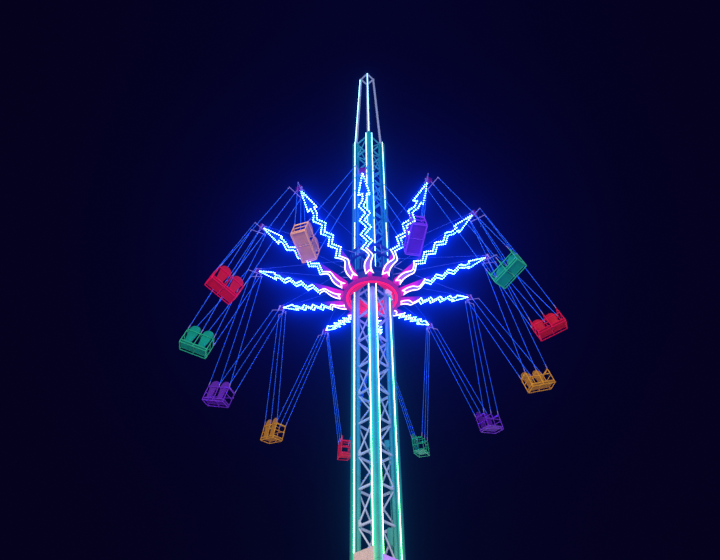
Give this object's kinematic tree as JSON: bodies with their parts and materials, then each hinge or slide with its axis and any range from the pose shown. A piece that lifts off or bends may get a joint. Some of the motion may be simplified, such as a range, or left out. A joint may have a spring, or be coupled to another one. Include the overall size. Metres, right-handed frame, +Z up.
{
  "type": "tower chair swing ride, 1:2 scale model",
  "caption": "Tower chair swing ride: a lattice mast with light strips, a lifting rotor with star arms, and double seats on ropes that swing out.",
  "frame": {"origin": "centre of the base plate's underside", "axes": "+Z up the tower; the tower's corners point along +X, -X, +Y and -Y"},
  "size_m": [8.6574, 8.6574, 22.885],
  "materials": {
    "base_steel": "satin",
    "tower_paint": "satin",
    "panel_sand": "matt",
    "panel_lilac": "matt",
    "tower_light": "lit strip",
    "arm_light": "lit strip",
    "ring_light": "lit panel",
    "carriage_paint": "satin",
    "ring_paint": "gloss",
    "mast_paint": "satin",
    "arm_paint": "satin",
    "hanger_steel": "bright",
    "seat_yellow": "gloss",
    "seat_red": "gloss",
    "seat_green": "gloss",
    "seat_purple": "gloss"
  },
  "bodies": {
    "tower": {"base_plate": "base_steel", "tower_foot": "tower_paint", "foot_panel_left": "panel_sand", "foot_panel_right": "panel_lilac", "foot_panel_back_right": "panel_sand", "foot_panel_back_left": "panel_lilac", "tower_lower": "tower_paint", "tower_middle": "tower_paint", "tower_head": "tower_paint", "crown_frame": "tower_paint", "light_channel_1": "tower_light", "light_channel_2": "tower_light", "light_channel_3": "tower_light", "light_channel_4": "tower_light", "light_channel_5": "tower_light", "light_channel_6": "tower_light", "light_channel_7": "tower_light", "light_channel_8": "tower_light"},
    "carriage": {"carriage_frame": "carriage_paint"},
    "rotor": {"rotor_ring": "ring_paint", "rotor_mast": "mast_paint", "arm_01": "arm_paint", "arm_02": "arm_paint", "arm_03": "arm_paint", "arm_04": "arm_paint", "arm_05": "arm_paint", "arm_06": "arm_paint", "arm_07": "arm_paint", "arm_08": "arm_paint", "arm_09": "arm_paint", "arm_10": "arm_paint", "arm_11": "arm_paint", "arm_12": "arm_paint"},
    "chair_01": {"hanger_01": "hanger_steel", "seat_01": "seat_red"},
    "chair_02": {"hanger_02": "hanger_steel", "seat_02": "seat_green"},
    "chair_03": {"hanger_03": "hanger_steel", "seat_03": "seat_purple"},
    "chair_04": {"hanger_04": "hanger_steel", "seat_04": "seat_yellow"},
    "chair_05": {"hanger_05": "hanger_steel", "seat_05": "seat_red"},
    "chair_06": {"hanger_06": "hanger_steel", "seat_06": "seat_green"},
    "chair_07": {"hanger_07": "hanger_steel", "seat_07": "seat_purple"},
    "chair_08": {"hanger_08": "hanger_steel", "seat_08": "seat_yellow"},
    "chair_09": {"hanger_09": "hanger_steel", "seat_09": "seat_red"},
    "chair_10": {"hanger_10": "hanger_steel", "seat_10": "seat_green"},
    "chair_11": {"hanger_11": "hanger_steel", "seat_11": "seat_purple"},
    "chair_12": {"hanger_12": "hanger_steel", "seat_12": "seat_yellow"}
  },
  "joints": [
    {"name": "lift", "type": "slide", "parent": "tower", "child": "carriage", "axis": [0, 0, 1], "range_m": [-9.4, 5]},
    {"name": "spin", "type": "hinge", "parent": "carriage", "child": "rotor", "pos_m": [0, 0, 12.5], "axis": [0, 0, 1], "continuous": true},
    {"name": "swing_01", "type": "hinge", "parent": "rotor", "child": "chair_01", "pos_m": [-2.27414, -1.88803, 13.29], "axis": [-0.6388, 0.7694, 0], "range_deg": [-24, 36]},
    {"name": "swing_02", "type": "hinge", "parent": "rotor", "child": "chair_02", "pos_m": [-2.91348, -0.49801, 13.29], "axis": [-0.1685, 0.9857, 0], "range_deg": [-24, 36]},
    {"name": "swing_03", "type": "hinge", "parent": "rotor", "child": "chair_03", "pos_m": [-2.77215, 1.02545, 13.29], "axis": [0.3469, 0.9379, 0], "range_deg": [-24, 36]},
    {"name": "swing_04", "type": "hinge", "parent": "rotor", "child": "chair_04", "pos_m": [-1.88803, 2.27414, 13.29], "axis": [0.7694, 0.6388, 0], "range_deg": [-24, 36]},
    {"name": "swing_05", "type": "hinge", "parent": "rotor", "child": "chair_05", "pos_m": [-0.49801, 2.91348, 13.29], "axis": [0.9857, 0.1685, 0], "range_deg": [-24, 36]},
    {"name": "swing_06", "type": "hinge", "parent": "rotor", "child": "chair_06", "pos_m": [1.02545, 2.77215, 13.29], "axis": [0.9379, -0.3469, 0], "range_deg": [-24, 36]},
    {"name": "swing_07", "type": "hinge", "parent": "rotor", "child": "chair_07", "pos_m": [2.27414, 1.88803, 13.29], "axis": [0.6388, -0.7694, 0], "range_deg": [-24, 36]},
    {"name": "swing_08", "type": "hinge", "parent": "rotor", "child": "chair_08", "pos_m": [2.91348, 0.49801, 13.29], "axis": [0.1685, -0.9857, 0], "range_deg": [-24, 36]},
    {"name": "swing_09", "type": "hinge", "parent": "rotor", "child": "chair_09", "pos_m": [2.77215, -1.02545, 13.29], "axis": [-0.3469, -0.9379, 0], "range_deg": [-24, 36]},
    {"name": "swing_10", "type": "hinge", "parent": "rotor", "child": "chair_10", "pos_m": [1.88803, -2.27414, 13.29], "axis": [-0.7694, -0.6388, 0], "range_deg": [-24, 36]},
    {"name": "swing_11", "type": "hinge", "parent": "rotor", "child": "chair_11", "pos_m": [0.49801, -2.91348, 13.29], "axis": [-0.9857, -0.1685, 0], "range_deg": [-24, 36]},
    {"name": "swing_12", "type": "hinge", "parent": "rotor", "child": "chair_12", "pos_m": [-1.02545, -2.77215, 13.29], "axis": [-0.9379, 0.3469, 0], "range_deg": [-24, 36]}
  ]
}
